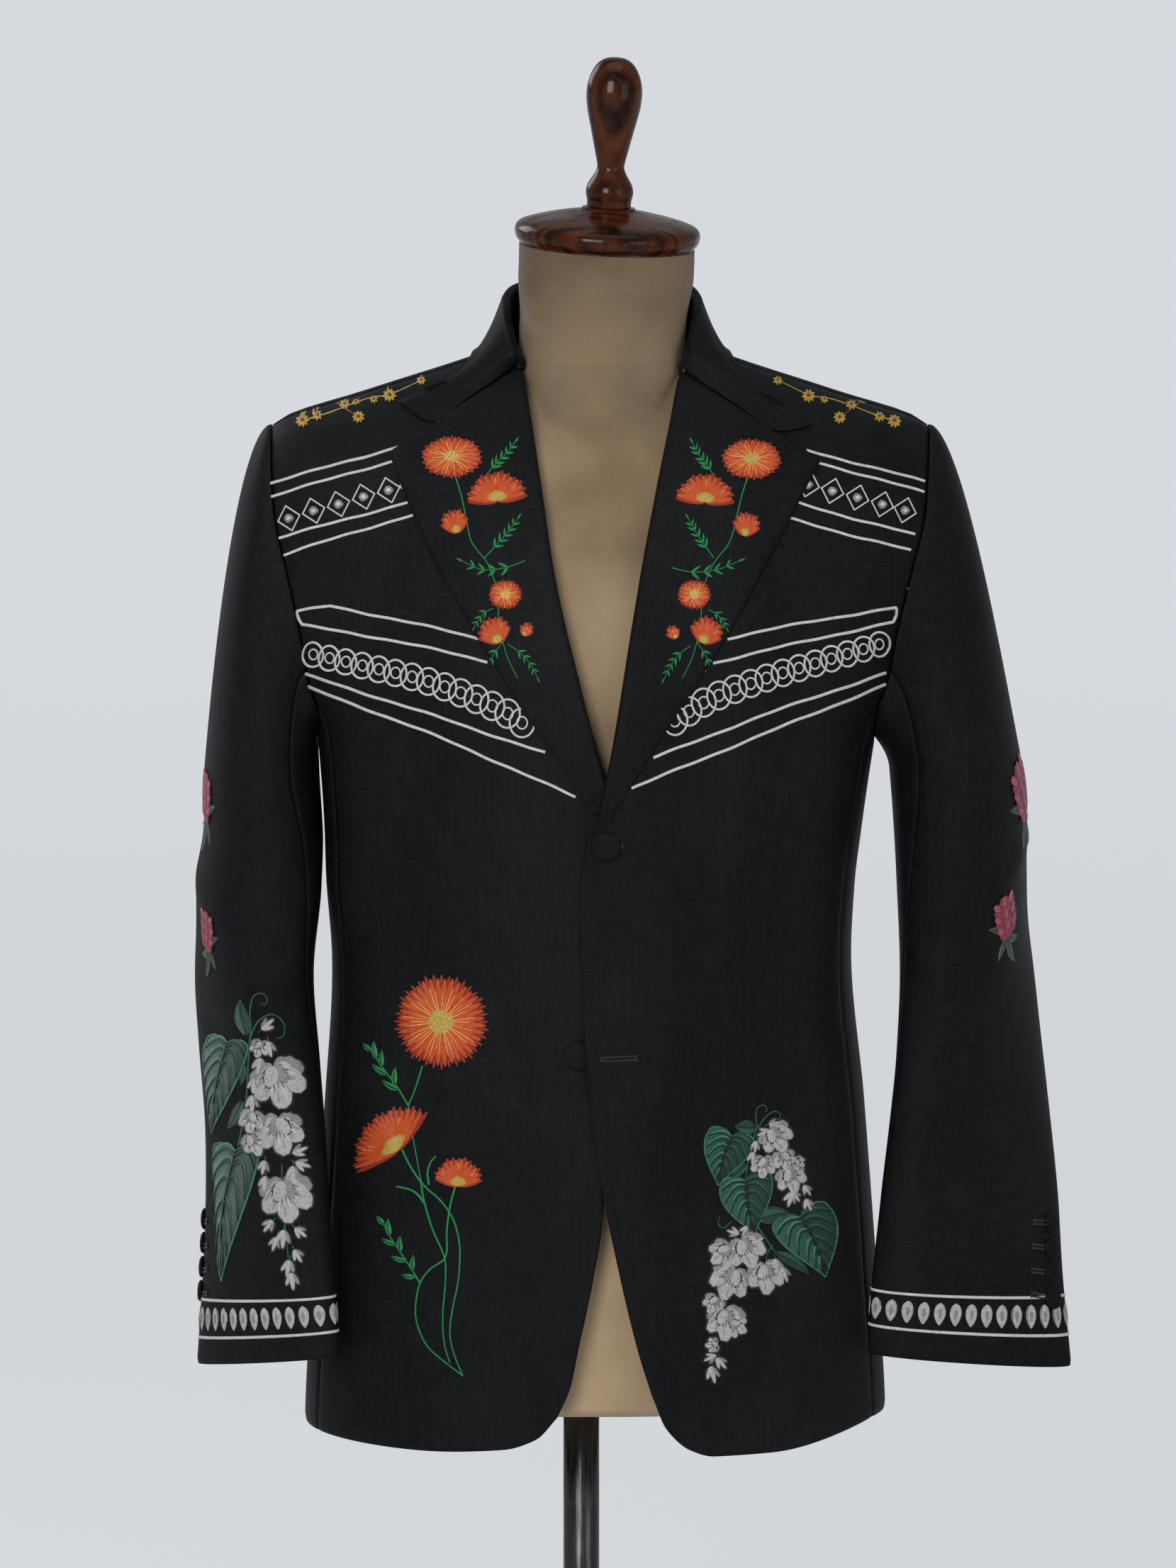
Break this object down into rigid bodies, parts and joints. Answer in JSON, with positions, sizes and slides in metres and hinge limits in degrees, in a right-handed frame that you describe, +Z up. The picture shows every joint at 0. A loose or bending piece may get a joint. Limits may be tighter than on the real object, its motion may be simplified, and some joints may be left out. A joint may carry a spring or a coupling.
{
  "type": "embroidered suit jacket on a dress form",
  "caption": "Dark single-breasted suit jacket embroidered with white bands and flowers, worn by a limbless padded dress form with a wooden cap on a pole stand.",
  "frame": {"origin": "centre of the round base's underside, on the floor and under the pole's axis", "axes": "+Z up along the pole; the jacket faces -Y, and the wearer's left is at +X"},
  "size_m": [0.5955, 0.37, 1.6413],
  "materials": {
    "wool": "dark charcoal worsted wool with a fine twill",
    "covered_button": "buttons covered in the jacket's cloth",
    "form_cover": "khaki cotton cover, matt",
    "turned_wood": "red-brown stain under gloss varnish",
    "black_metal": "black enamel, worn glossy"
  },
  "bodies": {
    "root": {"left_front": "wool", "right_front": "wool", "left_lapel": "wool", "right_lapel": "wool", "collar": "wool", "left_side_body": "wool", "right_side_body": "wool", "back_left": "wool", "back_right": "wool", "left_top_sleeve": "wool", "left_under_sleeve": "wool", "right_top_sleeve": "wool", "right_under_sleeve": "wool", "front_button_upper": "covered_button", "front_button_lower": "covered_button", "left_cuff_button_1": "covered_button", "left_cuff_button_2": "covered_button", "left_cuff_button_3": "covered_button", "left_cuff_button_4": "covered_button", "right_cuff_button_1": "covered_button", "right_cuff_button_2": "covered_button", "right_cuff_button_3": "covered_button", "right_cuff_button_4": "covered_button", "form_torso": "form_cover", "neck_cap": "turned_wood", "finial": "turned_wood", "pole": "black_metal", "base": "black_metal"}
  },
  "joints": []
}
